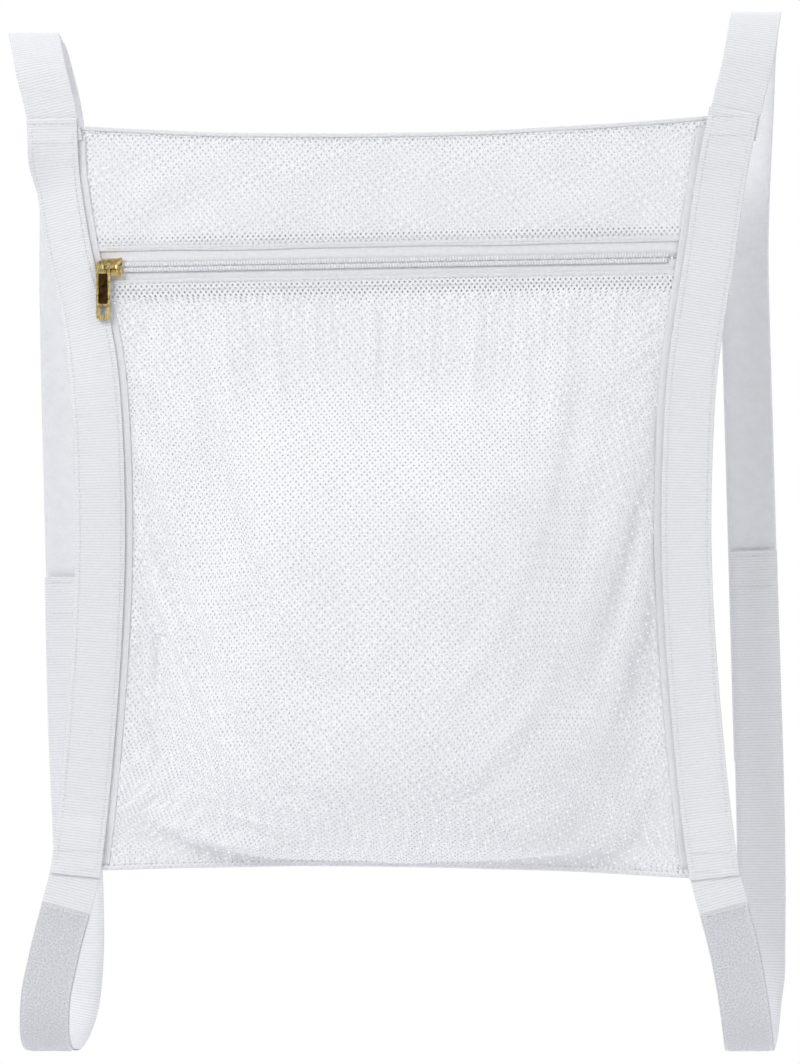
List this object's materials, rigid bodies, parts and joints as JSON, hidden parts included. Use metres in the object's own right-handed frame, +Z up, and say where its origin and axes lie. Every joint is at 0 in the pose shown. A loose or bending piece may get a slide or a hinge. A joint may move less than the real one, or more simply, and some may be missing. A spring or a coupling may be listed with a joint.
{
  "type": "hanging mesh shoe bag",
  "caption": "Zipped white mesh pouch for shoes, held on a door by two side straps that close into loops with hook-and-loop tape.",
  "frame": {"origin": "on the top edge of the door that the bag hangs from, midway between the two strap loops and midway through the door", "axes": "+X to the bag's right seen from its front, +Y from its front to its back, +Z up"},
  "size_m": [0.4288, 0.1392, 0.5694],
  "materials": {
    "mesh": "white warp-knitted polyester net with small diamond holes",
    "zip_tape": "white woven polyester tape",
    "zip_coil": "white nylon coil",
    "brass": "gold plated, polished, slightly worn at the edges",
    "webbing": "white ribbed polyester webbing",
    "seam_tape": "white smooth binding tape",
    "loop_pile": "white brushed loop pile",
    "hook_tape": "off-white nylon hook tape",
    "thread": "white polyester thread"
  },
  "bodies": {
    "bag": {"back_panel": "mesh", "front_panel_upper": "mesh", "front_panel_lower": "mesh", "zip_tape_upper": "zip_tape", "zip_tape_lower": "zip_tape", "zip_coil_upper": "zip_coil", "zip_coil_lower": "zip_coil", "side_webbing_left": "webbing", "side_webbing_right": "webbing", "seam_tape_left": "seam_tape", "seam_tape_right": "seam_tape", "upper_strap_left": "webbing", "upper_strap_right": "webbing", "lower_strap_left": "webbing", "lower_strap_right": "webbing", "hook_tape_left": "hook_tape", "hook_tape_right": "hook_tape", "corner_stitches_top_left": "thread", "corner_stitches_top_right": "thread", "corner_stitches_bottom_left": "thread", "corner_stitches_bottom_right": "thread"},
    "slider": {"slider_body": "brass"},
    "pull": {"pull_tab": "brass"},
    "upper_tail_left": {"upper_strap_tail_left": "webbing", "loop_tape_left": "loop_pile"},
    "upper_tail_right": {"upper_strap_tail_right": "webbing", "loop_tape_right": "loop_pile"},
    "lower_tail_left": {"lower_strap_tail_left": "webbing", "hook_tape_tail_left": "hook_tape"},
    "lower_tail_right": {"lower_strap_tail_right": "webbing", "hook_tape_tail_right": "hook_tape"}
  },
  "joints": [
    {"name": "zip_slide", "type": "slide", "parent": "bag", "child": "slider", "axis": [0.9998, 0, 0.018], "range_m": [0, 0.297]},
    {"name": "pull_swivel", "type": "hinge", "parent": "slider", "child": "pull", "pos_m": [-0.1569, -0.03505, -0.12982], "axis": [0, -1, 0], "range_deg": [-90, 40]},
    {"name": "upper_strap_peel_left", "type": "hinge", "parent": "bag", "child": "upper_tail_left", "pos_m": [-0.19, 0.0331, -0.0319], "axis": [1, 0, 0], "range_deg": [0, 75]},
    {"name": "lower_strap_peel_left", "type": "hinge", "parent": "bag", "child": "lower_tail_left", "pos_m": [-0.1755, 0.03045, -0.52438], "axis": [-1, 0, 0], "range_deg": [0, 70]},
    {"name": "upper_strap_peel_right", "type": "hinge", "parent": "bag", "child": "upper_tail_right", "pos_m": [0.1983, 0.0331, -0.0204], "axis": [1, 0, 0], "range_deg": [0, 75]},
    {"name": "lower_strap_peel_right", "type": "hinge", "parent": "bag", "child": "lower_tail_right", "pos_m": [0.2025, 0.03045, -0.52438], "axis": [-1, 0, 0], "range_deg": [0, 70]}
  ],
  "couplings": [
    {"joint": "lower_strap_peel_left", "follows": "upper_strap_peel_left", "ratio": 0.9},
    {"joint": "lower_strap_peel_right", "follows": "upper_strap_peel_right", "ratio": 0.9}
  ]
}
